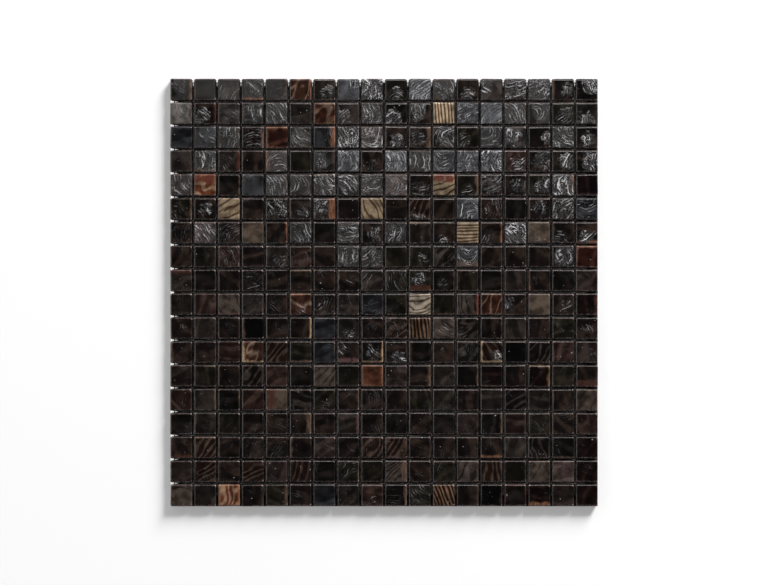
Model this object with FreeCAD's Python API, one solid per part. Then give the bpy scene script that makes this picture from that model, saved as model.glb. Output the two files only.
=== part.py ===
import FreeCAD, Part
import math
import os

# Mosaic sheet: square pressed glass tiles in straight rows, glued by their backs to a net.
# The sheet lies face up. X runs along a row, +Y towards row 1, and Z = 0 is the net's underside.
# All lengths are in millimetres and all angles in degrees.

# Glass tiles
ROWS = 18
TILES_PER_ROW = 18
TILE_SIDE = 15.0  # across the widest place, just under the face
TILE_THICKNESS = 4.0
FLANK_LEAN = 5.0  # the flanks lean in towards the back, so that grout locks the tile
EDGE_RADIUS = 0.8  # rounding of the face's edges and of the upright corners
JOINT = 1.5  # gap left for grout between neighbouring tiles

# Backing net
STRAND_PITCH = 5.0
STRAND_WIDTH = 0.8
NET_THICKNESS = 0.4
NET_MARGIN = 2.0  # the net stays at least this far inside the sheet's edge
PATCHES_PER_SIDE = 3  # the net is written as this many pieces each way, which meet end to end

TILE_PITCH = TILE_SIDE + JOINT


def stations(count, pitch):
    """Centres of equally spaced things, set out evenly about zero."""
    return [(i - (count - 1) / 2) * pitch for i in range(count)]


def pressed_tile():
    """One glass tile about the Z axis, its back on Z = 0."""
    lean = math.radians(FLANK_LEAN)
    # Where face and flank would meet if the edge between them were sharp
    sharp = TILE_SIDE / 2 + EDGE_RADIUS * (math.tan(lean) + 1 / math.cos(lean) - 1)
    back = sharp - TILE_THICKNESS * math.tan(lean)
    # A wedge tapers along Y, so it is made lying down and then stood up
    block = Part.makeWedge(-back, 0, -back, -sharp, -sharp, back, TILE_THICKNESS, back, sharp, sharp)
    block.rotate(FreeCAD.Vector(0, 0, 0), FreeCAD.Vector(1, 0, 0), 90)
    small = TILE_THICKNESS / 100
    softened = [edge for edge in block.Edges if edge.CenterOfMass.z > small]
    return block.makeFillet(EDGE_RADIUS, softened)


def tile_row(tile, y):
    """A row of separate tiles whose backs lie on the net."""
    places = [FreeCAD.Vector(x, y, NET_THICKNESS) for x in stations(TILES_PER_ROW, TILE_PITCH)]
    return Part.makeCompound([tile.translated(place) for place in places])


def strand_lines(tile_count):
    """Centre lines of the strands across the sheet, an odd number with one at zero."""
    sheet_side = (tile_count - 1) * TILE_PITCH + TILE_SIDE
    reach = sheet_side / 2 - NET_MARGIN - STRAND_WIDTH / 2
    return stations(2 * int(reach / STRAND_PITCH) + 1, STRAND_PITCH)


def shared_out(lines):
    """The strand lines in runs, one for each patch, each with the two places where it ends.

    A run ends on its outermost strand at the net's border, and halfway to the next strand inside."""
    share = len(lines) / PATCHES_PER_SIDE
    cuts = [round(i * share) for i in range(PATCHES_PER_SIDE + 1)]
    runs = []
    for first, last in zip(cuts, cuts[1:]):
        low = lines[first] - (STRAND_WIDTH if first == 0 else STRAND_PITCH) / 2
        high = lines[last - 1] + (STRAND_WIDTH if last == len(lines) else STRAND_PITCH) / 2
        runs.append((lines[first:last], low, high))
    return runs


def gaps(run):
    """The open lengths beside and between the strands of one run."""
    lines, low, high = run
    bounds = [low]
    for line in lines:
        bounds += [line - STRAND_WIDTH / 2, line + STRAND_WIDTH / 2]
    bounds.append(high)
    return [(a, b) for a, b in zip(bounds[::2], bounds[1::2]) if b > a]


def rectangle(x_low, x_high, y_low, y_high):
    """Flat upright rectangle on Z = 0."""
    plan = [(x_low, y_low), (x_high, y_low), (x_high, y_high), (x_low, y_high), (x_low, y_low)]
    return Part.Face(Part.makePolygon([FreeCAD.Vector(x, y, 0) for x, y in plan]))


def net_patch(x_run, y_run):
    """One piece of net, its strands fused where they cross."""
    plate = rectangle(*x_run[1:], *y_run[1:])
    meshes = [rectangle(*across, *along) for across in gaps(x_run) for along in gaps(y_run)]
    strands = plate.cut(Part.makeCompound(meshes))
    return strands.Faces[0].extrude(FreeCAD.Vector(0, 0, NET_THICKNESS))


def write(name, shape):
    """Checks one node's solids and writes them as its STEP file."""
    if not shape.isValid() or min(solid.Volume for solid in shape.Solids) <= 0:
        raise ValueError(f"{name} is not a sound solid")
    shape.exportStep(f"parts/{name}.step")
    print(f"{name}: {len(shape.Solids)} solids, {shape.Volume / 1000:.2f} cm3")


os.makedirs("parts", exist_ok=True)

one_tile = pressed_tile()
for row, row_y in enumerate(reversed(stations(ROWS, TILE_PITCH)), start=1):
    write(f"glass_tiles_row_{row:02d}", tile_row(one_tile, row_y))

net_columns = shared_out(strand_lines(TILES_PER_ROW))
net_rows = shared_out(strand_lines(ROWS))
for band, net_row in enumerate(reversed(net_rows), start=1):
    for place, net_column in enumerate(net_columns, start=1):
        write(f"backing_net_{band}_{place}", net_patch(net_column, net_row))
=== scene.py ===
import math
import random

import bmesh
import bpy
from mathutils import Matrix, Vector


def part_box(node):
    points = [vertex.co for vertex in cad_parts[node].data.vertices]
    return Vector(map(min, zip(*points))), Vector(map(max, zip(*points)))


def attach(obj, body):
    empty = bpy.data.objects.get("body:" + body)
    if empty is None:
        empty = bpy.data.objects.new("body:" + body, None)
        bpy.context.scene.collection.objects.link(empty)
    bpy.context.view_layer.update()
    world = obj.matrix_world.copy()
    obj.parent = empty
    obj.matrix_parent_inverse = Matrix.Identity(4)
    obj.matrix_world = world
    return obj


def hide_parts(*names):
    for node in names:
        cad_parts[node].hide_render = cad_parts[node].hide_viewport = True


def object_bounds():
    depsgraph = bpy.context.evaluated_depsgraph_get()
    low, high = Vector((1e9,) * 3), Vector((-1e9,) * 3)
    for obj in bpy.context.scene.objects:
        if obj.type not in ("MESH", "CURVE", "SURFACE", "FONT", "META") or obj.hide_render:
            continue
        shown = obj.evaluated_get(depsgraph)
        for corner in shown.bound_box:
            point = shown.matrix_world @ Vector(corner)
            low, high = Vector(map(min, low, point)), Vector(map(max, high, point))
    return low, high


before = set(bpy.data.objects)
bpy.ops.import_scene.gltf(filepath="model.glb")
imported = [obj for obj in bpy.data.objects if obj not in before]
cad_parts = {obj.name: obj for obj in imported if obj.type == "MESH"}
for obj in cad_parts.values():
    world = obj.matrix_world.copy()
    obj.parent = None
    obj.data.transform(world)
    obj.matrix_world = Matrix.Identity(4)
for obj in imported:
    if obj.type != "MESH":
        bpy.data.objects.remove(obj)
cad_low, cad_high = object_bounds()


# Tile blank
# The plain shape that every tile shares: a square of opaque glass pressed in an iron mould.
# Its face edges and upright corners are rounded by the fire, and its flanks lean in to the back.

MM = 0.001
FIRST_ROW = "glass_tiles_row_01"
TILES_PER_ROW = 18
EDGE_RADIUS = 0.8 * MM
FLANK_LEAN = math.radians(5)
FACE_CELLS = 2  # squares across the flat of the face, enough for its slow wave
FACE_BORDER = 0.4 * MM  # a narrow strip round them, which keeps the rounding's shade off the flat
HALF_ROUND = math.radians(45)  # from the face to halfway round its edge
ARC_STEPS = 1  # steps on that way, and as many on down to the flank

row_low, row_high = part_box(FIRST_ROW)
back_height = row_low.z
tile_side = row_high.y - row_low.y
tile_thickness = row_high.z - row_low.z
tile_pitch = (row_high.x - row_low.x - tile_side) / (TILES_PER_ROW - 1)


def face_lines():
    """Grid lines across the face: where each starts on the flat, and how far it leans over the edge."""
    flat = tile_side / 2 - EDGE_RADIUS
    leans = [math.tan(HALF_ROUND * step / ARC_STEPS) for step in range(1, ARC_STEPS + 1)]
    inner = flat - FACE_BORDER
    lines = [(-flat, -lean) for lean in reversed(leans)] + [(-flat, 0.0)]
    lines += [(inner * (2 * cell / FACE_CELLS - 1), 0.0) for cell in range(FACE_CELLS + 1)]
    return lines + [(flat, 0.0)] + [(flat, lean) for lean in leans]


def rounded_point(line_x, line_y, rise):
    """A point on the rounded block, out from the rounding's centre in the direction of the leans."""
    centre = Vector((line_x[0], line_y[0], tile_thickness - EDGE_RADIUS))
    return centre + EDGE_RADIUS * Vector((line_x[1], line_y[1], rise)).normalized()


def make_blank():
    """The tile about the origin with its back on Z = 0. Each point knows its place on the tile."""
    bm = bmesh.new()
    lines = face_lines()
    grid = [[bm.verts.new(rounded_point(x, y, 1.0)) for x in lines] for y in lines]
    for lower, upper in zip(grid, grid[1:]):
        for left in range(len(lines) - 1):
            bm.faces.new((lower[left], lower[left + 1], upper[left + 1], upper[left]))

    last = len(lines) - 1
    rim = [(x, 0) for x in range(last)] + [(last, y) for y in range(last)]
    rim += [(x, last) for x in range(last, 0, -1)] + [(0, y) for y in range(last, 0, -1)]
    ring = [grid[y][x] for x, y in rim]
    rises = [math.tan(HALF_ROUND * step / ARC_STEPS) for step in range(ARC_STEPS)]
    half = tile_side / 2
    narrowing = 1 - (tile_thickness - EDGE_RADIUS) * math.tan(FLANK_LEAN) / half
    levels = [[rounded_point(lines[x], lines[y], rise) for x, y in rim] for rise in reversed(rises)]
    levels.append([Vector((p.x * narrowing, p.y * narrowing, 0)) for p in levels[-1]])
    for level in levels:
        below = [bm.verts.new(point) for point in level]
        for i in range(len(rim)):
            bm.faces.new((ring[i - 1], below[i - 1], below[i], ring[i]))
        ring = below
    for face in bm.faces:
        face.smooth = True
    back = bm.faces.new(reversed(ring))
    for edge in back.edges:
        edge.smooth = False

    mesh = bpy.data.meshes.new("tile_blank")
    bm.to_mesh(mesh)
    bm.free()
    place = mesh.attributes.new("place", "FLOAT_VECTOR", "POINT")
    for vertex, item in zip(mesh.vertices, place.data):
        item.vector = (vertex.co.x / half, vertex.co.y / half, vertex.co.z / tile_thickness)
    return bpy.data.objects.new("tile_blank", mesh)


tile_blank = make_blank()


# Glass
# Each tile is one gather of soda glass, nearly black with iron and manganese.
# Trails of brown, amber and cream glass are stirred into some, and lie along an edge of others.


def shown(red, green, blue, alpha=1.0):
    """A colour as it is seen on a screen, 0 to 255, as the linear light that a material takes."""
    linear = [((c / 255 + 0.055) / 1.055) ** 2.4 if c > 10 else c / 255 / 12.92 for c in (red, green, blue)]
    return (*linear, alpha)


# For each glass: its ground, the trails in it, how many stripes and swirl bands they make across
# the tile, the share of the tile that they take, and how strongly they show
GLASSES = {
    "black": (shown(11, 9, 8), shown(30, 25, 23), 0.4, 2.0, 0.4, 0.8),
    "brown black": (shown(18, 13, 12), shown(44, 34, 29), 0.4, 2.2, 0.4, 0.8),
    "warm grey": (shown(26, 22, 20), shown(50, 43, 39), 0.5, 2.2, 0.35, 0.8),
    "jet": (shown(5, 4, 4), shown(10, 9, 9), 0.2, 1.0, 0.3, 0.4),
    "slate": (shown(20, 20, 22), shown(44, 45, 48), 0.6, 2.4, 0.4, 0.8),
    # Painted sheen: a paler copy of slate for upper tiles that catch the gloss of the softboxes
    "sheen-lit slate": (shown(48, 48, 51), shown(72, 73, 78), 0.6, 2.4, 0.4, 0.7),
    "olive black": (shown(20, 17, 13), shown(40, 35, 28), 0.6, 2.4, 0.35, 0.7),
    "maroon": (shown(31, 20, 17), shown(58, 44, 39), 0.6, 3.0, 0.35, 0.8),
    "mauve": (shown(52, 41, 38), shown(78, 67, 64), 0.6, 2.6, 0.4, 0.8),
    "dim mauve": (shown(30, 23, 21), shown(52, 43, 40), 0.6, 2.6, 0.4, 0.8),
    "red black": (shown(15, 8, 7), shown(38, 25, 22), 1.0, 1.6, 0.25, 0.7),
    "umber": (shown(26, 16, 12), shown(68, 54, 47), 1.6, 3.8, 0.32, 0.9),
    "smoke": (shown(16, 12, 11), shown(56, 49, 44), 1.2, 5.0, 0.3, 0.9),
    "taupe": (shown(68, 58, 52), shown(28, 20, 17), 0.8, 4.4, 0.22, 0.9),
    "taupe zebra": (shown(66, 57, 52), shown(24, 19, 16), 1.6, 7.0, 0.38, 1.0),
    "olive": (shown(74, 63, 54), shown(44, 33, 26), 0.0, 2.4, 0.1, 1.0),
    "pale olive": (shown(94, 89, 84), shown(74, 68, 63), 0.8, 2.0, 0.3, 0.6),
    "mahogany": (shown(48, 29, 22), shown(118, 96, 82), 0.3, 4.0, 0.2, 1.0),
    "amber": (shown(46, 25, 17), shown(106, 84, 70), 0.6, 5.6, 0.24, 1.0),
    "ruby": (shown(34, 15, 11), shown(58, 36, 29), 0.6, 2.4, 0.3, 0.8),
    "orange brown": (shown(70, 42, 30), shown(50, 30, 22), 0.3, 2.0, 0.25, 0.7),
    "fox": (shown(84, 46, 30), shown(136, 108, 88), 1.0, 6.0, 0.42, 1.0),
    "honey": (shown(122, 106, 86), shown(50, 32, 20), 1.6, 4.0, 0.3, 1.0),
    "gold": (shown(78, 56, 38), shown(158, 141, 118), 3.6, 1.6, 0.5, 1.0),
    "cream zebra": (shown(132, 120, 106), shown(48, 37, 30), 2.8, 8.0, 0.36, 1.0),
    "copper stripe": (shown(28, 17, 11), shown(104, 80, 64), 3.2, 2.0, 0.4, 1.0),
}

# Where each glass lies that isn't one of the common dark ones: row, tile, and the way its trails run
LAID = {
    "mahogany": [(1, 6, 60), (10, 6, 140), (12, 4, 60)],
    "amber": [(2, 7, 50), (10, 14, 70)],
    "gold": [(2, 12, 96), (7, 13, 4)],
    "ruby": [(3, 5, 20), (8, 18, 80)],
    "fox": [(5, 2, 30), (18, 3, 75)],
    "honey": [(5, 12, 20), (6, 3, 40), (6, 9, 110)],
    "cream zebra": [(10, 11, 4)],
    "copper stripe": [(11, 11, 95), (18, 12, 110)],
    "orange brown": [(13, 9, 10)],
    "pale olive": [(2, 1, 80)],
    "olive": [(7, 4, 40), (7, 16, 20), (10, 16, 130), (14, 5, 0)],
    "taupe": [(10, 3, 110), (11, 12, 150), (13, 7, 45), (14, 18, 50), (17, 16, 60), (18, 1, 150)],
    "taupe zebra": [(10, 13, 100), (17, 10, 40), (17, 13, 70)],
    "umber": [
        (6, 11, 60), (11, 10, 30), (12, 5, 60), (12, 14, 130), (16, 2, 50), (16, 9, 70), (16, 10, 60),
        (17, 2, 40), (17, 4, 20), (17, 6, 80), (17, 14, 100),
    ],
    "smoke": [
        (8, 12, 60), (11, 13, 20), (12, 13, 30), (12, 16, 50), (13, 4, 40), (14, 6, 150), (14, 15, 40),
        (16, 16, 120),
    ],
    "maroon": [
        (4, 15, 50), (6, 14, 95), (8, 3, 50), (8, 6, 30), (10, 2, 60), (12, 3, 10), (12, 17, 90),
        (13, 5, 30), (14, 1, 140), (14, 4, 60), (15, 15, 10), (15, 18, 90), (18, 9, 0),
    ],
    "red black": [
        (3, 4, 10), (5, 18, 90), (10, 18, 90), (13, 14, 0), (13, 16, 60), (16, 18, 40), (17, 18, 60),
        (18, 16, 0), (18, 18, 70),
    ],
    "mauve": [(3, 9, 40), (5, 10, 70), (7, 2, 50), (17, 17, 20)],
    "slate": [
        (2, 13, 60), (3, 1, 30), (3, 2, 40), (3, 7, 90), (4, 12, 20), (5, 4, 20), (6, 18, 10),
        (8, 13, 150), (10, 9, 0), (11, 7, 30), (12, 7, 30), (18, 7, 0),
    ],
    "olive black": [
        (3, 13, 40), (5, 13, 30), (9, 10, 60), (10, 1, 0), (12, 6, 0), (13, 8, 0), (17, 8, 30),
        (17, 9, 20),
    ],
    "jet": [(11, 4, 0), (12, 15, 0), (18, 14, 0)],
    "black": [(5, 3, 0), (7, 7, 0), (9, 2, 0), (9, 14, 0), (14, 3, 0), (15, 1, 0)],
    # painted sheen, on tiles in the gloss over the upper rows
    "sheen-lit slate": [
        (1, 8, 50), (1, 11, 30), (2, 14, 50), (4, 8, 60), (4, 10, 0), (4, 13, 0), (4, 14, 0), (6, 13, 30),
    ],
    "dim mauve": [
        (4, 5, 20), (5, 1, 60), (5, 6, 80), (6, 17, 60), (9, 18, 60), (12, 18, 70), (13, 1, 20),
        (13, 10, 0), (15, 13, 50), (16, 7, 30), (17, 1, 40), (17, 5, 60), (18, 17, 0),
    ],
    "warm grey": [
        (1, 1, 50), (1, 3, 40), (1, 5, 10), (1, 7, 60), (1, 16, 0), (2, 3, 30), (2, 5, 130), (2, 6, 0),
        (2, 8, 50), (2, 16, 60), (5, 9, 0), (7, 8, 0), (9, 1, 20), (10, 4, 40), (10, 8, 20), (11, 2, 60),
        (13, 12, 50), (14, 12, 60), (18, 2, 50),
    ],
    "brown black": [(7, 1, 10)],
}
# The rest are picked from these by chance
COMMON = ["black", "brown black", "brown black", "brown black", "warm grey", "olive black"]

# Glasses of the lips
ORANGE = shown(120, 82, 62)
CREAM = shown(176, 148, 116)
TAN = shown(92, 74, 62)
PINK = shown(84, 62, 60)
GOLD = shown(112, 88, 64)
RUST = shown(68, 42, 34)
BRICK = shown(96, 52, 42)
DUSK = shown(54, 43, 39)

# A lip of other glass along some edges: row, tile, colour, share of the tile, and how much of it
# lies left, right, front and behind
LIPS = [
    (1, 4, ORANGE, 0.10, (0.3, 0, 1, 0)), (1, 6, ORANGE, 0.06, (0, 1, 0.6, 0.8)),
    (2, 2, RUST, 0.1, (0, 1, 0, 0)), (2, 4, PINK, 0.09, (1, 0, 0, 0)),
    (2, 7, ORANGE, 0.05, (1, 0.9, 1, 0.9)), (3, 5, ORANGE, 0.08, (1, 0, 0.92, 1)),
    (3, 7, ORANGE, 0.2, (0, 1, 0, 0)), (3, 11, TAN, 0.16, (0, 1, 0, 0)), (4, 2, TAN, 0.14, (0, 0, 1, 0)),
    (4, 3, RUST, 0.14, (0, 1, 0, 0)), (4, 5, ORANGE, 0.1, (1, 0, 0, 0)),
    (5, 2, BRICK, 0.36, (0, 0, 0, 1)), (5, 12, BRICK, 0.34, (0, 0, 0, 1)),
    (5, 17, ORANGE, 0.06, (0, 1, 0, 0)), (6, 1, TAN, 0.06, (0, 1, 0, 0)),
    (6, 7, ORANGE, 0.28, (0, 1, 0, 0)), (7, 5, ORANGE, 0.05, (0, 1, 0, 0)),
    (7, 14, ORANGE, 0.08, (0, 1, 0, 0)), (7, 18, ORANGE, 0.1, (0, 0, 1, 0)),
    (8, 13, TAN, 0.26, (0, 0, 1, 0)), (8, 18, ORANGE, 0.06, (1, 0, 0.9, 1)),
    (9, 1, RUST, 0.14, (0, 0, 0, 1)), (9, 11, RUST, 0.26, (0, 0, 1, 0)),
    (9, 16, ORANGE, 0.06, (1, 0, 0, 0)), (10, 3, PINK, 0.06, (0, 0, 1, 0)),
    (10, 6, ORANGE, 0.05, (1, 0, 0, 1)), (10, 13, BRICK, 0.07, (0, 1, 0, 0)),
    (10, 14, TAN, 0.05, (1, 0.9, 1, 1)), (10, 18, RUST, 0.12, (0, 1, 0, 0)),
    (11, 6, CREAM, 0.05, (0, 1, 0, 0)), (12, 4, CREAM, 0.08, (1, 0, 1, 0)),
    (12, 8, PINK, 0.2, (0, 0, 1, 0)), (12, 9, CREAM, 0.07, (0, 0.9, 1, 0)),
    (12, 14, CREAM, 0.09, (0.97, 0, 1, 0)), (12, 17, PINK, 0.05, (1, 0, 0, 0)),
    (13, 9, ORANGE, 0.06, (1, 1, 1, 0.9)), (13, 16, GOLD, 0.07, (0, 1, 0, 0.9)),
    (13, 18, RUST, 0.3, (0, 0, 1, 0)), (14, 5, RUST, 0.4, (1, 0, 0, 0)), (15, 6, TAN, 0.2, (0, 1, 0, 0)),
    (15, 8, PINK, 0.09, (0, 1, 0, 0)), (15, 14, TAN, 0.06, (0, 1, 0, 0)),
    (16, 1, RUST, 0.14, (0, 0, 1, 0)), (16, 2, TAN, 0.06, (1, 0, 0, 1)), (16, 6, TAN, 0.1, (1, 0, 0, 0)),
    (16, 10, PINK, 0.06, (0, 0, 1, 0)), (16, 14, ORANGE, 0.12, (0, 0, 1, 0)),
    (17, 10, TAN, 0.24, (0, 1, 0, 0)), (18, 3, ORANGE, 0.07, (1, 1, 1, 0.9)),
    (18, 5, TAN, 0.1, (0, 1, 0, 0)), (18, 15, RUST, 0.05, (1, 0.9, 1, 1)),
    (18, 16, ORANGE, 0.16, (0, 0, 1, 0)),
]


# Chilled faces
# The iron mould chills the glass, so a skin sets on the face while the melt under it still moves, and
# it wrinkles in patches. A face isn't quite level either, so each one turns the light its own way.

# Marks of the chill on the faces: how many wrinkles lie between the tile's middle and its side, how far
# they wander, how finely they are broken, how much they curl, how deep they are, how strong the painted
# sheen on their ridges and the painted shade in their furrows are, and how gritty
CHILLS = {
    "smooth": (4.0, 0.6, 1.0, 0.2, 0.1, 0.0, 0.0),
    "faint": (4.5, 0.8, 2.0, 0.3, 0.4, 0.06, 0.3),
    "scratches": (3.8, 0.6, 2.0, 0.3, 0.8, 0.17, 0.2),
    "strokes": (3.6, 0.6, 1.5, 0.2, 1.2, 0.42, 0.4),
    "bright strokes": (3.3, 0.8, 1.3, 0.2, 1.6, 0.8, 0.5),
    "arcs": (3.2, 0.8, 1.6, 1.0, 1.1, 0.42, 0.3),
    "bright arcs": (3.1, 1.0, 1.2, 1.1, 1.6, 0.75, 0.4),
    "waves": (3.4, 2.6, 2.0, 0.2, 1.2, 0.42, 0.5),
    "crackle": (3.2, 3.0, 1.6, 0.4, 1.4, 0.48, 0.5),
    "bright crackle": (3.0, 3.0, 1.4, 0.4, 1.6, 0.85, 0.5),
}

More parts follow.
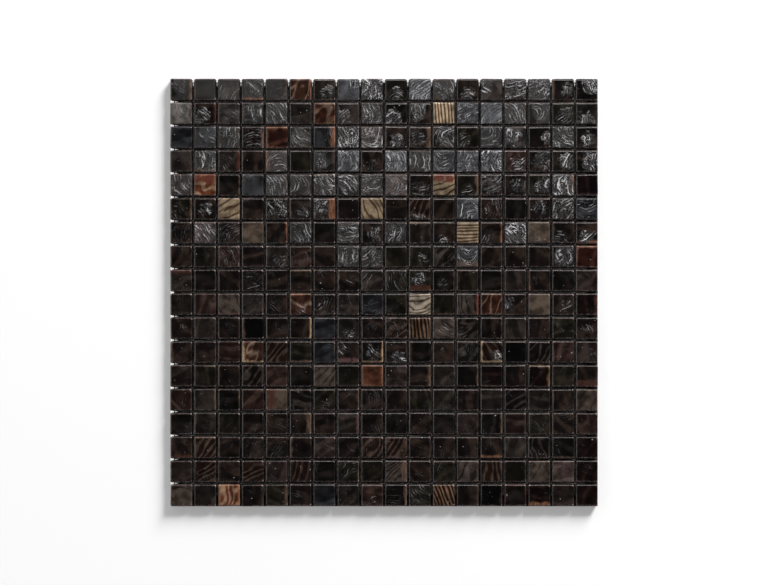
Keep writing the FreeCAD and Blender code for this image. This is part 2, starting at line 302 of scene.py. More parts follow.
# Where the marks lie: row, tile, the middle of the patch right and up from the tile's middle, how far
# it reaches, and how far its grain leans to the right of straight up, in degrees
CHILLED = {
    "smooth": [
        (1, 2, 0, 0, 2, 60), (2, 6, 0, -0.5, 0.4, 90), (3, 1, 0, 0, 0.3, 0), (3, 5, 0, 0, 0.3, 0),
        (4, 1, 0, 0, 0.4, 0), (4, 4, 0, 0, 0.3, 0), (4, 6, 0, 0, 0.3, 0), (5, 3, 0, 0, 0.4, 60),
        (5, 18, 0, 0, 0.1, 0), (6, 8, 0, 0, 0.2, 0), (6, 10, 0, 0, 0.2, 0), (6, 12, 0, 0, 0.2, 0),
        (6, 15, 0, 0, 0.3, 0), (7, 4, 0, 0, 0.1, 0), (7, 7, 0, 0, 0.2, 0), (7, 11, 0, 0, 0.4, 0),
        (8, 4, 0, 0, 0.3, 0), (8, 7, 0, 0, 0.3, 0), (8, 10, 0, 0, 0.3, 0), (8, 14, 0, 0, 0.3, 0),
        (8, 15, 0, 0, 0.2, 0), (8, 16, 0, 0, 0.3, 0), (8, 18, 0, 0, 0.3, 0), (9, 2, 0, 0, 0.2, 0),
        (9, 3, 0, 0, 0.4, 0), (9, 6, 0, 0, 0.2, 0), (9, 13, 0, 0, 0.2, 0), (9, 14, 0, 0, 0.2, 0),
        (9, 15, 0, 0, 0.3, 0), (10, 12, 0, 0, 0.1, 0), (10, 16, 0, 0, 0.2, 0), (11, 2, 0, 0, 0.3, 0),
        (11, 4, 0, 0, 0.0, 0), (11, 14, 0, 0, 0.3, 0), (11, 15, 0, 0, 0.2, 0), (12, 1, 0, 0, 0.2, 0),
        (12, 2, 0, 0, 0.2, 0), (12, 3, 0, 0, 0.2, 0), (12, 5, 0, 0, 0.2, 0), (12, 6, 0, 0, 0.2, 0),
        (12, 11, 0, 0, 0.2, 0), (12, 15, 0, 0, 0.0, 0), (12, 16, 0, 0, 0.3, 0), (13, 6, 0, 0, 0.2, 0),
        (13, 9, 0, 0, 0.2, 0), (13, 13, 0, 0, 0.2, 0), (14, 5, 0, 0, 0.3, 0), (18, 14, 0, 0, 0.2, 0),
        (18, 17, 0, 0, 0.3, 0), (18, 18, 0, 0, 0.1, 0),
    ],
    "scratches": [
        (1, 1, -0.3, 0.5, 0.9, -45), (1, 3, 0, 0, 1.2, 35), (1, 5, 0.3, -0.4, 0.9, 50),
        (1, 7, 0.4, -0.4, 0.8, -60), (2, 1, 0, 0.6, 0.8, -30), (2, 3, 0.3, -0.2, 0.7, -60),
        (2, 17, 0.3, -0.3, 0.9, 45), (3, 2, 0.4, 0.4, 0.9, -40), (3, 4, 0, 0, 1.0, 85),
        (3, 7, 0.5, 0, 0.9, -10), (3, 11, -0.3, -0.3, 0.8, 60), (3, 13, -0.4, -0.4, 0.7, 40),
        (4, 3, -0.4, -0.3, 0.8, -45), (4, 9, 0.1, -0.4, 0.6, -15), (5, 4, -0.5, 0.5, 0.6, 40),
        (5, 11, 0, -0.5, 0.8, 85), (5, 13, 0, -0.6, 0.6, 80), (6, 1, -0.4, -0.4, 0.8, -50),
        (6, 14, 0.2, 0, 0.9, 0), (6, 18, 0, 0.1, 1.2, 85), (7, 3, 0, -0.1, 1.1, 40),
        (7, 14, -0.2, -0.4, 0.6, 20), (7, 17, -0.2, -0.5, 0.6, -60), (8, 3, 0.2, 0, 1.0, -25),
        (8, 5, 0.3, -0.5, 0.6, 45), (8, 6, 0, -0.2, 0.7, 0), (9, 4, 0, -0.1, 0.8, 80),
        (9, 8, 0.3, 0, 0.5, -50), (9, 9, -0.4, 0, 0.6, 30), (9, 10, 0.1, 0, 1.1, -15),
        (9, 12, 0, -0.4, 0.4, 60), (10, 7, 0, -0.2, 0.8, 40), (10, 9, 0, -0.5, 0.8, 80),
        (10, 17, 0.2, -0.1, 0.5, 60), (11, 12, 0, 0, 2, -50), (11, 13, -0.4, -0.4, 0.5, 70),
        (14, 7, 0.2, -0.7, 0.5, 85), (17, 8, 0.1, 0.3, 0.8, 50), (18, 11, 0, 0, 1.1, -50),
    ],
    "strokes": [
        (1, 4, 0.3, 0.3, 0.9, -40), (1, 11, 0, 0, 2, 42), (1, 12, 0.2, 0.2, 1.0, -40),
        (1, 17, 0.5, 0, 0.5, 5), (2, 2, -0.3, -0.3, 0.8, -50), (2, 5, 0, 0, 1.2, -35),
        (2, 8, -0.5, -0.4, 0.7, 40), (2, 14, 0.2, 0, 2, 50), (2, 15, 0, 0, 2, -30), (3, 3, 0, 0, 2, 12),
        (3, 6, 0, -0.2, 1.0, -55), (4, 15, 0.4, -0.3, 0.7, 60), (4, 16, 0.4, 0, 0.9, 35),
        (5, 1, -0.1, -0.1, 1.1, -30), (5, 5, 0, 0, 2, -20), (5, 14, 0, 0.1, 1.0, 70),
        (5, 15, 0.2, 0, 0.7, 25), (6, 5, 0.2, 0.2, 1.0, -45), (6, 6, 0.2, -0.4, 0.6, -60),
        (6, 17, 0, 0, 2, 40), (7, 2, -0.2, 0, 1.2, -35), (7, 6, 0.1, 0, 1.2, -30), (8, 9, 0, 0, 1.0, 45),
        (10, 6, 0, -0.5, 0.5, -45), (11, 8, 0.2, -0.5, 0.5, -65), (12, 8, -0.6, 0.3, 0.5, -40),
        (12, 9, 0, -0.1, 0.6, -50), (18, 9, 0, -0.4, 0.3, 85),
    ],
    "bright strokes": [
        (1, 14, -0.8, 0.2, 0.6, -50), (1, 18, 0.5, 0.4, 0.7, -35), (2, 10, -0.4, -0.6, 0.9, 60),
        (3, 8, 0, 0, 2, -25), (3, 17, 0.1, 0.2, 2, -50), (4, 17, 0.4, -0.1, 0.7, 20),
        (5, 8, 0, 0.3, 1.0, -50), (6, 2, 0.1, 0, 0.5, -40), (7, 12, 0, -0.8, 0.4, 60),
        (7, 15, 0, 0, 2, -45), (7, 16, -0.1, -0.6, 0.3, 80), (7, 18, 0.1, -0.4, 0.6, 50),
        (10, 15, -0.6, 0.1, 0.4, -40), (12, 10, 0.3, -0.5, 0.5, -65), (12, 14, 0.4, -0.4, 0.4, -45),
    ],
    "arcs": [
        (1, 10, 0.1, -0.3, 0.5, 90), (1, 13, 0, -0.5, 0.6, 90), (2, 16, 0.4, 0.3, 1.0, -20),
        (3, 14, 0.1, 0.2, 2, 30), (4, 5, 0.1, 0.1, 1.2, 80), (4, 12, 0, 0, 2, 88),
        (5, 6, -0.2, 0, 1.1, 5), (5, 10, 0, 0, 1.3, 5),
    ],
    "bright arcs": [
        (3, 9, 0, 0, 2, 60), (3, 12, 0.4, 0, 1.1, 10), (6, 13, 0, 0.1, 1.1, 60),
        (8, 13, 0.1, 0.2, 0.9, 85), (9, 11, 0, 0.2, 0.6, 80),
    ],
    "waves": [
        (1, 15, 0, 0, 2, 80), (1, 16, -0.1, -0.1, 1.3, 70), (2, 13, 0.1, 0.3, 1.3, 70),
        (3, 16, 0.8, -0.2, 0.6, 5), (4, 13, 0, 0, 2, 30), (5, 7, 0, 0, 2, -35), (5, 9, 0, 0, 1.4, 85),
        (6, 7, -0.4, 0, 0.9, 30), (7, 8, 0, 0, 1.4, 80), (8, 11, 0.3, -0.1, 0.35, 85),
    ],
    "crackle": [
        (1, 8, 0.5, 0.6, 0.6, 0), (2, 4, 0, 0.2, 0.9, 0), (2, 9, 0, 0, 2, 0), (2, 11, -0.3, 0.3, 0.8, 0),
        (2, 18, 0, -0.7, 0.7, 0), (4, 2, 0.1, 0.1, 1.2, 0), (4, 7, -0.5, 0, 0.7, 0), (4, 8, 0, 0, 2, 0),
        (4, 10, 0, 0, 2, 0), (4, 11, 0, 0, 2, 0), (6, 11, -0.1, -0.7, 0.4, 0), (6, 16, 0.1, 0.1, 0.5, 0),
        (7, 9, 0.3, -0.2, 0.6, 0), (7, 10, 0, 0.2, 1.0, 0), (8, 8, -0.1, 0.1, 1.3, 0),
        (11, 1, 0.2, 0, 0.1, 0), (11, 18, 0, -0.1, 0.3, 0), (12, 12, 0, 0.2, 0.1, 0),
    ],
    "bright crackle": [
        (1, 9, 0.1, 0, 2, 0), (3, 10, 0.1, -0.3, 0.5, 0), (3, 15, -0.4, 0, 0.8, 0),
        (3, 18, 0.1, -0.3, 0.6, 0), (4, 14, -0.1, 0, 2, 0), (4, 18, 0.4, 0, 0.7, 0),
        (5, 16, 0.4, 0, 0.6, 0), (5, 17, 0, -0.2, 1.2, 0), (8, 17, 0.1, 0, 0.8, 0),
    ],
    "faint": [
        (6, 4, -0.4, 0.6, 0.6, -40), (7, 1, 0, 0, 1.0, 10), (8, 12, 0, 0.1, 1.0, 30),
        (9, 1, 0, -0.4, 0.5, 20), (10, 4, 0, -0.1, 1.0, 50), (10, 5, 0, 0, 0.9, -50),
        (10, 10, -0.3, -0.6, 0.6, 60), (11, 3, 0, 0, 0.5, 40), (11, 10, 0.1, 0.1, 0.9, -30),
        (12, 13, 0, 0, 0.8, 20), (14, 9, 0, 0, 1.2, -5), (15, 13, 0, 0.1, 0.9, -30),
        (15, 16, 0, 0.1, 0.8, -40), (15, 17, 0.1, 0.6, 0.5, 80), (16, 4, 0, 0, 0.9, 20),
        (16, 5, 0, 0, 0.9, 50), (16, 7, 0, 0, 0.8, -60), (16, 9, 0, 0, 1.0, 10),
        (18, 10, 0, -0.3, 0.7, 85),
    ],
}

# Tiles with a satin face, which spreads the light that falls on it
SATIN = [
    (1, 1), (1, 2), (1, 3), (1, 4), (1, 5), (1, 8), (1, 11), (1, 12), (1, 14), (1, 16), (2, 1), (2, 3),
    (2, 4), (2, 5), (2, 9), (2, 13), (2, 14), (2, 15), (2, 16), (3, 2), (3, 3), (3, 6), (3, 8), (3, 9),
    (3, 14), (3, 15), (3, 17), (4, 1), (4, 2), (4, 5), (4, 7), (4, 8), (4, 10), (4, 11), (4, 12), (4, 13),
    (4, 14), (5, 1), (5, 4), (5, 5), (5, 6), (5, 7), (5, 8), (5, 9), (5, 10), (5, 17), (6, 13), (7, 2),
    (7, 6), (7, 8), (7, 10), (7, 15), (8, 8), (8, 9), (8, 13), (8, 17),
]

# What chance does to each tile
TURN_ERROR = 0.35  # degrees about the upright
TILT_ERROR = 0.016
MELT_SPREAD = 500  # how far apart tiles lie in the noise, so that no two are alike
LIGHTNESS = (0.85, 1.15)
MARK_STRENGTH = (0.8, 1.2)
DULLNESS = 0.1
SATIN_DULLNESS = (0.28, 0.36)

# Lips and marks of the tiles that the tables leave out
STRAY_LIP_COLOURS = (DUSK, DUSK, DUSK, TAN)
STRAY_LIP_SHARES = (0, 0, 0, 0.03, 0.05, 0.1)
STRAY_SHIFT = 0.7
STRAY_REACH = 0.6
STRAY_LEAN = (-30, 40)  # its middle value and its spread, in degrees

dice = random.Random(18)
laid = {(row, tile): (glass, flow) for glass, places in LAID.items() for row, tile, flow in places}
lips = {(row, tile): (colour, share, sides) for row, tile, colour, share, sides in LIPS}
chilled = {(row, tile): (marks, place) for marks, places in CHILLED.items() for row, tile, *place in places}


def tile_facts(row, tile):
    """What one tile's point carries into the mesh, by attribute name."""
    glass, flow = laid.get((row, tile), (dice.choice(COMMON), dice.uniform(0, 180)))
    ground, trail, stripes, bands, share, strength = GLASSES[glass]
    stray_sides = [0, 0, 0, 0]
    stray_sides[dice.randrange(4)] = 1
    stray_lip = (dice.choice(STRAY_LIP_COLOURS), dice.choice(STRAY_LIP_SHARES), stray_sides)
    lip_colour, lip_share, lip_sides = lips.get((row, tile), stray_lip)
    shifts = (dice.uniform(-STRAY_SHIFT, STRAY_SHIFT), dice.uniform(-STRAY_SHIFT, STRAY_SHIFT))
    stray_place = (*shifts, dice.uniform(0.0, STRAY_REACH), dice.gauss(*STRAY_LEAN))
    marks, (right, up, reach, lean) = chilled.get((row, tile), ("faint", stray_place))
    wrinkles, wander, breaks, curl, depth, skin, grit = CHILLS[marks]
    lightness = dice.uniform(*LIGHTNESS)
    return {
        "turn": math.radians(dice.gauss(0, TURN_ERROR)),
        "tilt": (dice.gauss(0, TILT_ERROR), dice.gauss(0, TILT_ERROR), 0),
        "melt": dice.uniform(0, MELT_SPREAD),
        "ground": [c * lightness for c in ground[:3]] + [1],
        "trail": [c * lightness for c in trail[:3]] + [1],
        "lip": lip_colour,
        "lip_sides": lip_sides,
        "lip_share": lip_share,
        "figure": (stripes, bands, share),
        "strength": strength,
        "flow": math.radians(flow),
        "patch": (right, up, reach),
        "grain": (wrinkles, wander, math.radians(lean)),
        "breaks": breaks,
        "curl": curl * dice.choice((-1, 1)),
        "marks": (depth * dice.uniform(*MARK_STRENGTH), skin * dice.uniform(*MARK_STRENGTH), grit),
        "dullness": dice.uniform(*SATIN_DULLNESS) if (row, tile) in SATIN else DULLNESS,
    }


# Tile rows
# Eighteen tiles stand side by side in each row, pressed one by one and laid face up in a grid.
# No two are alike: each has its own slope, a slow wave and sides that aren't quite straight.

WAVE_HEIGHT = 0.35 * MM
WAVES_PER_TILE = 1.1
WOBBLE = 0.22 * MM
WOBBLES_PER_TILE = 0.9
PLACE_ERROR = 0.07 * MM


class Wire:
    """One output in a node tree, which can be used in Python sums."""

    def __init__(self, tree, socket=None):
        self.tree = tree
        self.socket = socket

    def node(self, kind, inputs=None, output=0, **settings):
        """Adds a node: its settings first, then its inputs' values or links. Gives one of its outputs."""
        node = self.tree.nodes.new(kind)
        for name, value in settings.items():
            setattr(node, name, value)
        for name, value in (inputs or {}).items():
            if isinstance(value, Wire):
                value.feed(node, name)
            else:
                node.inputs[name].default_value = value
        return Wire(self.tree, node.outputs[output] if node.outputs else None)

    def feed(self, node, name):
        """Links this output to one input of a node."""
        self.tree.links.new(self.socket, node.inputs[name])

    def sum(self, operation, *values):
        return self.node("ShaderNodeMath", dict(enumerate(values)), operation=operation)

    def __add__(self, other):
        return self.sum("ADD", self, other)

    def __sub__(self, other):
        return self.sum("SUBTRACT", self, other)

    def __mul__(self, other):
        return self.sum("MULTIPLY", self, other)

    def __rsub__(self, other):
        return self.sum("SUBTRACT", other, self)

    def __abs__(self):
        return self.sum("ABSOLUTE", self)

    __radd__ = __add__
    __rmul__ = __mul__

    def larger(self, other):
        return self.sum("MAXIMUM", self, other)

    def fraction(self):
        return self.sum("FRACT", self)

    def part(self, axis):
        """A vector's X, Y or Z, as 0, 1 or 2."""
        return self.node("ShaderNodeSeparateXYZ", {0: self}, axis)

    def vector(self, x, y, z):
        return self.node("ShaderNodeCombineXYZ", {0: x, 1: y, 2: z})

    def grey(self):
        """This number as a colour."""
        return self.vector(self, self, self)

    def vectors(self, operation, other, output=0):
        """Vector arithmetic with another vector."""
        return self.node("ShaderNodeVectorMath", {0: self, 1: other}, output, operation=operation)

    def scaled(self, factor):
        return self.node("ShaderNodeVectorMath", {0: self, "Scale": factor}, operation="SCALE")

    def turned(self, angle):
        """A vector turned about Z."""
        return self.node("ShaderNodeVectorRotate", {"Vector": self, "Angle": angle}, rotation_type="Z_AXIS")

    def noise(self, scale, detail=2.0):
        """Smooth noise at this place, mostly between 0.25 and 0.75."""
        return self.node("ShaderNodeTexNoise", {"Vector": self, "Scale": scale, "Detail": detail})

    def drift(self, scale, detail=2.0):
        """Smooth noise at this place that points any way, as a vector about zero."""
        noise = self.node("ShaderNodeTexNoise", {"Vector": self, "Scale": scale, "Detail": detail}, "Color")
        return noise.vectors("SUBTRACT", (0.5, 0.5, 0.5))

    def ease(self, low, high, bottom=0.0, top=1.0):
        """Goes smoothly from bottom to top as this number goes from low to high."""
        values = {0: self, 1: low, 2: high, 3: bottom, 4: top}
        return self.node("ShaderNodeMapRange", values, interpolation_type="SMOOTHSTEP")

    def mottle(self, bottom=0.0, top=1.0):
        """Noise stretched over all that lies between bottom and top."""
        return self.ease(0.3, 0.7, bottom, top)

    def blend(self, first, second):
        """A mix of two colours by this number."""
        return self.node("ShaderNodeMix", {0: self, 6: first, 7: second}, 2, data_type="RGBA")


def new_tree(name, kinds, result):
    """A Geometry Nodes tree with named inputs, a wire to start from, and its inputs by name."""
    tree = bpy.data.node_groups.new(name, "GeometryNodeTree")
    for title, kind in kinds.items():
        tree.interface.new_socket(name=title, in_out="INPUT", socket_type="NodeSocket" + kind)
    tree.interface.new_socket(name=result, in_out="OUTPUT", socket_type="NodeSocketGeometry")
    start = Wire(tree)
    return tree, start, {title: start.node("NodeGroupInput", output=title) for title in kinds}


def tree_input(modifier, values):
    """Sets a modifier's inputs by the names that its tree gives them."""
    for item in modifier.node_group.interface.items_tree:
        if item.in_out == "INPUT" and item.name in values:
            modifier[item.identifier] = values[item.name]


def row_tree():
    """Stands a blank on each point of a row and shapes it by what the point carries."""
    kinds = {"Places": "Geometry", "Blank": "Object", "Glass": "Material", "Wave height": "Float"}
    kinds.update({"Waves per tile": "Float", "Wobble": "Float", "Half side": "Float"})
    tree, start, given = new_tree("tile_row", kinds, "Row")

    def carried(name, kind="FLOAT"):
        return start.node("GeometryNodeInputNamedAttribute", {"Name": name}, data_type=kind)

    blank = start.node("GeometryNodeObjectInfo", {"Object": given["Blank"]}, "Geometry")
    turn = start.vector(0.0, 0.0, carried("turn"))
    stood = {"Points": given["Places"], "Instance": blank, "Rotation": turn}
    tiles = start.node("GeometryNodeInstanceOnPoints", stood)
    tiles = start.node("GeometryNodeRealizeInstances", {"Geometry": tiles})

    # The back stays on the net, and the face moves most
    place = carried("place", "FLOAT_VECTOR")
    height = place.part(2)
    spot = start.vector(place.part(0), place.part(1), carried("melt"))
    wave = (spot.noise(given["Waves per tile"], 1.0) - 0.5) * given["Wave height"]
    slope = place.vectors("DOT_PRODUCT", carried("tilt", "FLOAT_VECTOR"), 1) * given["Half side"]
    elsewhere = spot.vectors("ADD", (5.0, 5.0, 5.0))
    wobble = elsewhere.drift(WOBBLES_PER_TILE).scaled(given["Wobble"] * height)
    offset = start.vector(wobble.part(0), wobble.part(1), height * (wave + slope))
    shaped = start.node("GeometryNodeSetPosition", {"Geometry": tiles, "Offset": offset})
    glazed = start.node("GeometryNodeSetMaterial", {"Geometry": shaped, "Material": given["Glass"]})
    start.node("NodeGroupOutput", {0: glazed})
    return tree


# The material measures a tile from -1 to 1 each way across the face, and from 0 to 1 up to it.
# Each noise in it adds a number of its own to the tile's melt, so that none repeats another.
TRAIL_BLUR = 0.22
THREAD_PULL = 0.35  # how far fine threads pull a trail aside
CLOUDING = (0.5, 1.5)  # from the darkest cloud in the glass to the lightest
LIP_RAGGED = 0.5
LIP_BLUR_IN = 0.16
LIP_BLUR_OUT = 0.12
# The rims and corners get a painted highlight in a pale colour, standing in for the light their rounding
# catches.
RIM = (0.84, 0.93)  # where the rim begins and where it is full
CORNER = (0.7, 0.84)  # the same for a corner, as the product of the two places
BACK_HIGHLIGHT = 0.8  # this and the next two are times the painted highlight on the left rim
FRONT_HIGHLIGHT = 3.0
CORNER_HIGHLIGHT = 3.2
HIGHLIGHT_BREAKUP = (0.2, 3.2)  # from where the painted highlight breaks off to where it is strongest
RIM_HIGHLIGHT_STRENGTH = 0.1
RIM_HIGHLIGHT_COLOUR = shown(150, 134, 130)
PATCH_BLUR = 0.3
PATCH_RAGGED = 1.2
GRAIN_BEND = 0.5
RIDGE_SHARPNESS = 5.5
FURROW_SHARPNESS = 4.0
FURROW_SHIFT = 0.34  # of the way from one ridge to the next
BREAKING = (0.42, 0.62)
FOLD_HEIGHT = 0.24  # this and the next three are in millimetres
RIDGE_HEIGHT = 0.08
FURROW_DEPTH = 0.04
PIT_DEPTH = 0.01
LEAST_RELIEF = 0.1  # the share of the relief that lies outside the patch too
# Painted shade for the furrows, and painted sheen for the ridges, which also colours the dust
FURROW_PAINTED_SHADE = shown(8, 7, 7)
PAINTED_SHEEN_AND_DUST = shown(222, 220, 222)
DUST_STRENGTH = 0.5
SKIN_DULLNESS = 0.08
FLANK_DULLNESS = 0.5
FURROW_DULLNESS = 0.4
UNEVEN_DULLNESS = (0.6, 1.3)

# The outputs of an Attribute node
COLOUR = 0
VECTOR = 1
NUMBER = 2
ALPHA = 3


def new_material(name):
    """A material, its shader, and a wire to start its nodes from."""
    material = bpy.data.materials.new(name)
    material.use_nodes = True
    return material, material.node_tree.nodes["Principled BSDF"], Wire(material.node_tree)


def fact(start, name, output=NUMBER):
    """What a tile's point carried into the mesh, in the tile's material."""
    return start.node("ShaderNodeAttribute", output=output, attribute_name=name)


def stirred_glass(start, place, melt, cloud):
    """The ground with its trails, which run along the flow and bend with the swirl of the melt."""
    figure = fact(start, "figure", VECTOR)
    stripes, bands, share = figure.part(0), figure.part(1), figure.part(2)
    turned = place.turned(-1.0 * fact(start, "flow"))
    along, across = turned.part(0), turned.part(1)
    swirl = start.vector(along * 0.5, across, melt).noise(0.6, 1.5)
    thread = start.vector(along * 0.8, across * 4.0, melt + 20.0).noise(1.0, 3.0)
    phase = (across * stripes + swirl * bands + thread * THREAD_PULL).fraction()
    crest = abs(phase - 0.5) * 2.0
    edge = 1.0 - share
    trail = crest.ease(edge - TRAIL_BLUR, edge + TRAIL_BLUR) * thread.ease(0.2, 0.6, 0.45, 1.0)
    trail = trail * fact(start, "strength")
    colour = trail.blend(fact(start, "ground", COLOUR), fact(start, "trail", COLOUR))
    return colour.scaled(cloud.mottle(*CLOUDING))


def lip_cover(start, place, melt, cloud):
    """How much the lip covers. It is measured towards whichever of its sides is nearest."""
    sides = fact(start, "lip_sides", COLOUR)
    back = fact(start, "lip_sides", ALPHA)
    left_right = (place.part(0) * -1.0 * sides.part(0)).larger(place.part(0) * sides.part(1))
    front_back = (place.part(1) * -1.0 * sides.part(2)).larger(place.part(1) * back)
    reach = left_right.larger(front_back) + (cloud - 0.5) * LIP_RAGGED
    edge = 1.0 - 2.0 * fact(start, "lip_share")
    streaks = start.vector(place.part(0) * 5.0, place.part(1) * 1.5, melt + 50.0).noise(1.0, 2.0)
    return reach.ease(edge - LIP_BLUR_IN, edge + LIP_BLUR_OUT) * streaks.ease(0.35, 0.6, 0.35, 1.0)


def rim_highlight(start, place, melt):
    """How much painted highlight lies on the rims: most along the front and at the corners."""
    left = (place.part(0) * -1.0).ease(*RIM)
    back = place.part(1).ease(*RIM, 0.0, BACK_HIGHLIGHT)
    front = (place.part(1) * -1.0).ease(*RIM) * FRONT_HIGHLIGHT
    corner = (abs(place.part(0)) * abs(place.part(1))).ease(*CORNER) * CORNER_HIGHLIGHT
    breakup = start.vector(place.part(0), place.part(1), melt + 90.0).noise(9.0, 3.0)
    rim = left.larger(back).larger(front).larger(corner) * place.part(2).ease(0.75, 0.95)
    return rim * RIM_HIGHLIGHT_STRENGTH * breakup.ease(0.48, 0.62, *HIGHLIGHT_BREAKUP)


def chill(start, place, melt):
    """The wrinkled patch of skin: how much of it is here, and its folds, ridges and furrows."""
    spot = start.vector(place.part(0), place.part(1), melt + 60.0)
    patch_place = fact(start, "patch", VECTOR)
    middle = start.vector(patch_place.part(0), patch_place.part(1), 0.0)
    apart = start.vector(place.part(0), place.part(1), 0.0).vectors("DISTANCE", middle, 1)
    ragged = (spot.noise(2.0, 2.0) - 0.5) * PATCH_RAGGED
    patch = (patch_place.part(2) - apart + ragged).ease(-PATCH_BLUR, PATCH_BLUR)

    # Along and across the grain, which bends a little everywhere and curls about the patch's middle
    grain = fact(start, "grain", VECTOR)
    bent = spot.vectors("ADD", spot.drift(1.1, 1.0).scaled(GRAIN_BEND))
    turned = bent.vectors("SUBTRACT", middle).turned(grain.part(2))
    along = turned.part(1)
    across = turned.part(0) + along * along * fact(start, "curl")
    wander = start.vector(across * 1.2, along * 0.7, melt + 7.0).noise(1.0, 1.0) * grain.part(1)
    wrinkle = across * grain.part(0) + wander
    breaks = start.vector(across * 2.0, along, melt + 17.0).noise(fact(start, "breaks"), 1.0).ease(*BREAKING)
    ridges = (1.0 - abs(wrinkle.fraction() - 0.5) * RIDGE_SHARPNESS).larger(0.0) * breaks
    furrows = (1.0 - abs((wrinkle + FURROW_SHIFT).fraction() - 0.5) * FURROW_SHARPNESS).larger(0.0) * breaks
    folds = start.vector(across * 2.2, along * 0.8, melt).noise(1.0, 1.0)

    grit = start.vector(across * 10.0, along * 8.0, melt + 30.0).noise(1.0, 1.0)
    grittiness = fact(start, "marks", VECTOR).part(2)
    ridges = ridges.larger(grit.ease(0.54, 0.66) * grittiness)
    furrows = furrows.larger(grit.ease(0.34, 0.46, 1.0, 0.0) * grittiness)
    return patch, folds, ridges, furrows


def glass_material():
    """Opaque soda glass: a ground colour, trails stirred into it, a lip, and a wrinkled chilled face."""
    material, shader, start = new_material("pressed_glass")
    place = fact(start, "place", VECTOR)
    melt = fact(start, "melt")
    height = place.part(2)
    marks = fact(start, "marks", VECTOR)
    # skin sets how strongly the painted sheen and the painted shade show on the marks
    depth, skin = marks.part(0), marks.part(1)
    patch, folds, ridges, furrows = chill(start, place, melt)

    cloud = start.vector(place.part(0), place.part(1), melt + 40.0).noise(1.3, 3.0)
    colour = stirred_glass(start, place, melt, cloud)
    colour = lip_cover(start, place, melt, cloud).blend(colour, fact(start, "lip", COLOUR))
    # Painted highlight: a pale line along the rims, broken into patches.
    colour = rim_highlight(start, place, melt).blend(colour, RIM_HIGHLIGHT_COLOUR)

    # Painted sheen on the ridges stands in for the lamps' reflection, brighter and dimmer in broad patches by
    # the folds, and painted shade darkens the furrows beside them. Some dust stuck to the soft glass.
    dark = (furrows * patch * skin).ease(0.0, 0.4)
    painted_sheen = ridges * patch * skin * height.ease(0.8, 1.0) * folds.ease(0.38, 0.66, 0.15, 1.9)
    dust = start.vector(place.part(0), place.part(1), melt + 110.0).noise(6.0, 0.0).ease(0.85, 0.89)
    colour = painted_sheen.larger(dust * DUST_STRENGTH).blend(dark.blend(colour, FURROW_PAINTED_SHADE), PAINTED_SHEEN_AND_DUST)
    colour.feed(shader, "Base Color")

    uneven = start.vector(place.part(0), place.part(1), melt + 130.0).noise(0.9, 1.0).mottle(*UNEVEN_DULLNESS)
    roughness = fact(start, "dullness") * uneven + patch * SKIN_DULLNESS + dark * FURROW_DULLNESS
    roughness = roughness + height.ease(0.82, 0.94, FLANK_DULLNESS, 0.0)
    roughness.feed(shader, "Roughness")

    relief = folds * FOLD_HEIGHT + ridges * RIDGE_HEIGHT - furrows * FURROW_DEPTH
    relief = relief * depth * patch.larger(LEAST_RELIEF) * height
    pits = start.vector(place.part(0) * 2.0, place.part(1) * 2.0, melt + 60.0).noise(9.0, 2.0) * PIT_DEPTH
    start.node("ShaderNodeBump", {"Distance": MM, "Height": relief + pits}).feed(shader, "Normal")
    return material


def row_places(row, name):
    """The points of a row, where its tiles stand on the net, with each tile's facts as attributes."""
    low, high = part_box(name)
    spots = []
    for tile in range(TILES_PER_ROW):
        slip = Vector((dice.gauss(0, PLACE_ERROR), dice.gauss(0, PLACE_ERROR), 0))
        spots.append(Vector((low.x + tile_side / 2 + tile * tile_pitch, (low.y + high.y) / 2, low.z)) + slip)
    mesh = bpy.data.meshes.new(name)
    mesh.from_pydata(spots, [], [])
    facts = [tile_facts(row, tile) for tile in range(1, TILES_PER_ROW + 1)]
    for name_of_fact in facts[0]:
        values = [tile[name_of_fact] for tile in facts]
        size = len(values[0]) if hasattr(values[0], "__len__") else 1
        kind, slot = {1: ("FLOAT", "value"), 3: ("FLOAT_VECTOR", "vector"), 4: ("FLOAT_COLOR", "color")}[size]
        attribute = mesh.attributes.new(name_of_fact, kind, "POINT")
        for item, value in zip(attribute.data, values):
            setattr(item, slot, value)
    return mesh


def plain_mesh(piece):
    """Turns what a piece's modifiers make into its own mesh."""
    shown_piece = piece.evaluated_get(bpy.context.evaluated_depsgraph_get())
    made = bpy.data.meshes.new_from_object(shown_piece)
    piece.modifiers.clear()
    old = piece.data
    piece.data = made
    bpy.data.meshes.remove(old)
    made.name = piece.name


row_maker = row_tree()
pressed_glass = glass_material()
row_nodes = sorted(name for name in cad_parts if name.startswith("glass_tiles_row_"))
for row, node_name in enumerate(row_nodes, start=1):
    tiles = bpy.data.objects.new(f"tiles_row_{row:02d}", row_places(row, node_name))
    bpy.context.scene.collection.objects.link(tiles)
    maker = tiles.modifiers.new("row", "NODES")
    maker.node_group = row_maker
    tree_input(maker, {
        "Blank": tile_blank, "Glass": pressed_glass, "Wave height": WAVE_HEIGHT,
        "Waves per tile": WAVES_PER_TILE, "Wobble": WOBBLE, "Half side": tile_side / 2,
    })
    plain_mesh(tiles)
    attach(tiles, "root")
    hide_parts(node_name)
bpy.data.objects.remove(tile_blank)


# Backing net
# One length of glass-fibre net across all the tile backs, resin-coated dark so that it can't be
# seen down the joints. Its flat strands are fused where they cross, and a spot of glue holds each tile.

FIBRES_PER_STRAND = 9
STRAND_WIDTH = 0.8 * MM
FIBRE_DEPTH = 0.03 * MM
COAT_PATCHES = 120.0  # to the metre
COAT_DARK = shown(20, 20, 21)
COAT_LIGHT = shown(32, 31, 31)


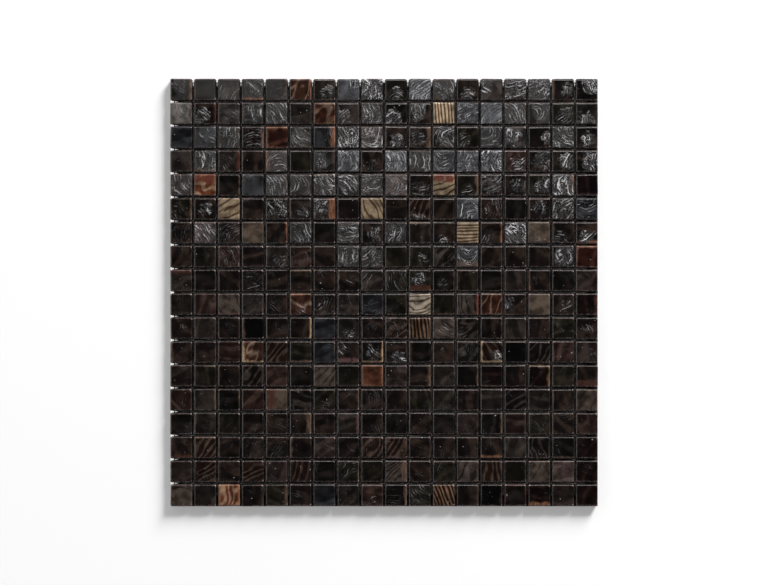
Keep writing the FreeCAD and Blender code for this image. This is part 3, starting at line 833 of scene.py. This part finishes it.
def net_material():
    """Dark resin over bundled fibres: fine lines along the strands, and a dull broken sheen."""
    material, shader, start = new_material("net_fibre")
    spot = start.node("ShaderNodeTexCoord", output="Object")
    fibres = spot.noise(FIBRES_PER_STRAND / STRAND_WIDTH, 1.0)
    coat = spot.noise(COAT_PATCHES, 3.0)
    colour = coat.mottle().blend(COAT_DARK, COAT_LIGHT).scaled(fibres.mottle(0.7, 1.2))
    colour.feed(shader, "Base Color")
    coat.mottle(0.5, 0.75).feed(shader, "Roughness")
    start.node("ShaderNodeBump", {"Distance": FIBRE_DEPTH, "Height": fibres}).feed(shader, "Normal")
    return material


net_fibre = net_material()
for name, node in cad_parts.items():
    if name.startswith("backing_net"):
        node.data.materials.clear()
        node.data.materials.append(net_fibre)


# Adhesive
# Clear glue that was squeezed up through the net into the joints, with dust stuck in it. It set as
# ragged grey beads along the joints, nearer to one side, and is painted paler where four tiles meet, as
# painted light.

BEAD_STEP = 1.2 * MM
BEAD_WIDTH = 0.7 * MM
BEAD_HEIGHT = 2.2 * MM
BEAD_SHIFT = 0.3 * MM  # away from the middle of the joint, to the right and to the front
BEAD_RAGGED = 0.9 * MM
BEAD_SIDES = 6
RAGS = 0.5 / MM  # lumps along a bead, to the metre
DUST_GRAINS = 900.0  # to the metre
DUST_DEPTH = 0.1 * MM
CROSSING = (0.06 * tile_pitch, 0.12 * tile_pitch)  # how far the painted light at a crossing reaches
CROSSING_LIGHT = 0.1
CLEAR_GLUE = shown(24, 21, 19)
DUSTY_AND_LIT_GLUE = shown(120, 110, 104)


def bead_lines():
    """The middle lines of the beads, one along each joint."""
    half_sheet = TILES_PER_ROW * tile_pitch / 2 - tile_pitch / 2
    steps = round(2 * half_sheet / BEAD_STEP)
    runs = [2 * half_sheet * i / steps - half_sheet for i in range(steps + 1)]
    joints = [(i - (TILES_PER_ROW - 2) / 2) * tile_pitch for i in range(TILES_PER_ROW - 1)]
    height = back_height + BEAD_HEIGHT / 2
    points = [(joint + BEAD_SHIFT, run, height) for joint in joints for run in runs]
    points += [(run, joint - BEAD_SHIFT, height) for joint in joints for run in runs]
    edges = [(i, i + 1) for i in range(len(points) - 1) if (i + 1) % len(runs)]
    mesh = bpy.data.meshes.new("adhesive")
    mesh.from_pydata(points, edges, [])
    return mesh


def bead_tree():
    """Draws a tall ragged bead along each line."""
    kinds = {"Lines": "Geometry", "Glue": "Material", "Width": "Float", "Height": "Float", "Ragged": "Float"}
    tree, start, given = new_tree("adhesive", kinds, "Beads")
    profile = start.node("GeometryNodeCurvePrimitiveCircle", {"Resolution": BEAD_SIDES, "Radius": 0.5})
    across = start.vector(given["Width"], given["Height"], 1.0)
    profile = start.node("GeometryNodeTransform", {"Geometry": profile, "Scale": across})
    lines = start.node("GeometryNodeMeshToCurve", {0: given["Lines"]})
    lines = start.node("GeometryNodeSetCurveNormal", {"Curve": lines}, mode="Z_UP")
    beads = {"Curve": lines, "Profile Curve": profile, "Fill Caps": True}
    beads = start.node("GeometryNodeCurveToMesh", beads)
    push = start.node("GeometryNodeInputPosition").drift(RAGS).scaled(given["Ragged"])
    beads = start.node("GeometryNodeSetPosition", {"Geometry": beads, "Offset": push})
    beads = start.node("GeometryNodeRealizeInstances", {"Geometry": beads})
    glued = start.node("GeometryNodeSetMaterial", {"Geometry": beads, "Material": given["Glue"]})
    start.node("NodeGroupOutput", {0: glued})
    return tree


def from_joint(spot, axis):
    """How far a place lies from the middle of the nearest joint that this axis crosses."""
    return abs((spot.part(axis) * (1 / tile_pitch) + 0.5).fraction() - 0.5) * tile_pitch


def glue_material():
    """Dull grey glue with dust in it, painted paler at the crossings as painted light."""
    material, shader, start = new_material("dusty_glue")
    spot = start.node("ShaderNodeTexCoord", output="Object")
    dust = spot.noise(DUST_GRAINS, 3.0)
    # Painted light: the glue is painted paler where four tiles meet, where more light gets down.
    crossing_light = from_joint(spot, 0).ease(*CROSSING, 1.0, 0.0) * from_joint(spot, 1).ease(*CROSSING, 1.0, 0.0)
    colour = (dust + crossing_light * CROSSING_LIGHT).ease(0.42, 0.68).blend(CLEAR_GLUE, DUSTY_AND_LIT_GLUE)
    colour.feed(shader, "Base Color")
    dust.mottle(0.3, 0.7).feed(shader, "Roughness")
    start.node("ShaderNodeBump", {"Distance": DUST_DEPTH, "Height": dust}).feed(shader, "Normal")
    return material


adhesive = bpy.data.objects.new("adhesive", bead_lines())
bpy.context.scene.collection.objects.link(adhesive)
bead_maker = adhesive.modifiers.new("beads", "NODES")
bead_maker.node_group = bead_tree()
tree_input(bead_maker, {
    "Glue": glue_material(), "Width": BEAD_WIDTH, "Height": BEAD_HEIGHT, "Ragged": BEAD_RAGGED,
})
plain_mesh(adhesive)
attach(adhesive, "root")


# Floor
# A wide sheet of white card, which keeps the tile sheet's shadow. Under the tiles it is painted dark,
# as painted shade where light hardly gets there, and from below it can be seen through.

FLOOR_HALF = 12.0
FLOOR_GAP = 0.15 * MM  # keeps it off the net's underside
CARD = (0.9, 0.9, 0.9, 1.0)
SHADED_CARD = (0.03, 0.027, 0.025, 1.0)
SHADE_LOW = Vector((-146.9, -148.0)) * MM
SHADE_HIGH = Vector((148.0, 147.6)) * MM
FADE = Vector((0.2, 0.3)) * MM  # how softly the painted shade begins, along and across
FLOOR_GLOW = 0.25
SHORT_RAY = 3 * MM  # shorter rays go through the card, so that the net is lit from below
SLIT_LENGTH = 5.0 * MM  # painted light: the card glows white in the back and left ends of the joints
SLIT_WIDTH = 1.6 * MM
SLIT_BLUR = 0.2 * MM
SLIT_GLOW = 0.8


def floor_material():
    """White card with painted shade under the sheet and painted light in the slits, clear from below."""
    material, shader, start = new_material("white_card")
    shader.inputs["Roughness"].default_value = 0.9
    shader.inputs["Specular IOR Level"].default_value = 0.1
    shader.inputs["Emission Strength"].default_value = 1.0
    spot = start.node("ShaderNodeTexCoord", output="Object")
    inside, beneath = 1.0, 1.0
    for axis in (0, 1):
        along = spot.part(axis)
        beneath = beneath * start.sum("LESS_THAN", abs(along), cad_high[axis])
        inside = inside * start.sum("GREATER_THAN", along, SHADE_LOW[axis])
        inside = inside * along.ease(SHADE_HIGH[axis] - FADE[axis], SHADE_HIGH[axis], 1.0, 0.0)
    # Painted shade: the card is dark under the sheet.
    inside.blend(CARD, SHADED_CARD).feed(shader, "Base Color")

    seen = 0.0
    for ray in ("Is Camera Ray", "Is Glossy Ray", "Is Transmission Ray"):
        seen = start.node("ShaderNodeLightPath", output=ray) + seen
    slits = 0.0
    # Painted light: a glow that narrows into each joint from its back and left end
    for axis, along_joint in ((0, spot.part(1)), (1, spot.part(0) * -1.0)):
        open_half = (along_joint - (cad_high.y - SLIT_LENGTH)) * (SLIT_WIDTH / 2 / SLIT_LENGTH)
        slits = (open_half - from_joint(spot, axis)).ease(-SLIT_BLUR, SLIT_BLUR).larger(slits)
    glow = ((1.0 - inside) * FLOOR_GLOW).larger(slits * beneath * SLIT_GLOW) * seen
    glow.grey().feed(shader, "Emission Color")

    short = start.sum("LESS_THAN", start.node("ShaderNodeLightPath", output="Ray Length"), SHORT_RAY)
    gone = short.larger(start.node("ShaderNodeNewGeometry", output="Backfacing"))
    clear = start.node("ShaderNodeBsdfTransparent")
    whole = {0: gone, 1: Wire(start.tree, shader.outputs[0]), 2: clear}
    start.node("ShaderNodeMixShader", whole).feed(material.node_tree.nodes["Material Output"], "Surface")
    return material


floor_mesh = bpy.data.meshes.new("floor")
corners = [(x * FLOOR_HALF, y * FLOOR_HALF, -FLOOR_GAP) for x, y in ((-1, -1), (1, -1), (1, 1), (-1, 1))]
floor_mesh.from_pydata(corners, [], [(0, 1, 2, 3)])
floor_mesh.materials.append(floor_material())
floor = bpy.data.objects.new("floor", floor_mesh)
bpy.context.scene.collection.objects.link(floor)


# Camera
# A long lens straight above the middle of the sheet, so that the flanks of the outer tiles hardly
# show. Row 1 is at the top of the picture.

LENS = 200.0
SENSOR_WIDTH = 36.0
VIEW_WIDTH = 0.5309  # of the plane of the tile faces

face_height = back_height + tile_thickness
camera_distance = VIEW_WIDTH * LENS / SENSOR_WIDTH
camera_data = bpy.data.cameras.new("camera")
camera_data.lens = LENS
camera_data.sensor_width = SENSOR_WIDTH
camera = bpy.data.objects.new("camera", camera_data)
camera.location = (0, 0, face_height + camera_distance)
bpy.context.scene.collection.objects.link(camera)
bpy.context.scene.camera = camera


# Light
# A soft key lamp low at the upper right gives the colours, and the short shadow to the lower left. The
# gloss comes from softboxes beyond row 1 and to the left, so it is the satin faces, slopes and
# wrinkles that turn their light to the camera. A pale band near the horizon lights the flanks.

KEY_TOWARDS = Vector((0.54, 0.84))
KEY_ELEVATION = math.radians(19)
KEY_DISTANCE = 6.0
KEY_SIZE = (2.1, 2.1)
KEY_POWER = 742.0
OVERHEAD_PLACE = Vector((0.13, 0.42, 0.55))
OVERHEAD_SIZE = (0.44, 0.32)
OVERHEAD_POWER = 1.1
SHEEN_PLACE = Vector((0.09, 0.31, 0.54))
SHEEN_SIZE = (0.30, 0.10)
SHEEN_POWER = 0.7
LEFT_PLACE = Vector((-0.60, 0.05, 0.45))
LEFT_SIZE = (0.40, 0.30)
LEFT_POWER = 0.75
DOWN = Vector((0, 0, -1))
BRIGHT_SIDE = (-0.62, 0.78, 0.0)
BAND = (0.05, 0.8)  # how high it is full and how high it ends, the zenith being at 1
BAND_STRENGTH = (0.3, 1.6)  # on its dim side and on its bright side
ABOVE = 0.03
BELOW = 0.6


def add_lamp(name, place, towards, size, power, only):
    """A rectangular softbox that isn't itself seen, and lights only colour or only gloss."""
    data = bpy.data.lights.new(name, "AREA")
    data.shape = "RECTANGLE"
    data.size, data.size_y = size
    data.energy = power
    lamp = bpy.data.objects.new(name, data)
    lamp.location = place
    lamp.rotation_euler = towards.to_track_quat("-Z", "Y").to_euler()
    lamp.visible_camera = False
    lamp.visible_diffuse = only == "diffuse"
    lamp.visible_glossy = only == "glossy"
    bpy.context.scene.collection.objects.link(lamp)


key_place = (KEY_TOWARDS.normalized() * math.cos(KEY_ELEVATION)).to_3d() * KEY_DISTANCE
key_place.z = KEY_DISTANCE * math.sin(KEY_ELEVATION)
add_lamp("key", key_place, -key_place, KEY_SIZE, KEY_POWER, "diffuse")
add_lamp("overhead", OVERHEAD_PLACE, DOWN, OVERHEAD_SIZE, OVERHEAD_POWER, "glossy")
add_lamp("left", LEFT_PLACE, -LEFT_PLACE, LEFT_SIZE, LEFT_POWER, "glossy")
add_lamp("sheen", SHEEN_PLACE, DOWN, SHEEN_SIZE, SHEEN_POWER, "glossy")


def studio():
    """Dark above, pale below, with a band near the horizon. The camera sees white all round."""
    world = bpy.data.worlds.new("studio")
    bpy.context.scene.world = world
    world.use_nodes = True
    start = Wire(world.node_tree)
    towards = start.node("ShaderNodeTexCoord", output="Generated")
    band = towards.part(2).ease(*BAND, 1.0, 0.0)
    side = towards.vectors("DOT_PRODUCT", BRIGHT_SIDE, 1).ease(-0.7, 0.9, *BAND_STRENGTH)
    light = (band * side + ABOVE).larger(towards.part(2).ease(-0.02, 0.0, BELOW, 0.0))
    light = light.larger(start.node("ShaderNodeLightPath", output="Is Camera Ray"))
    light.grey().feed(world.node_tree.nodes["Background"], "Color")


studio()
bpy.context.scene.view_settings.view_transform = "Standard"
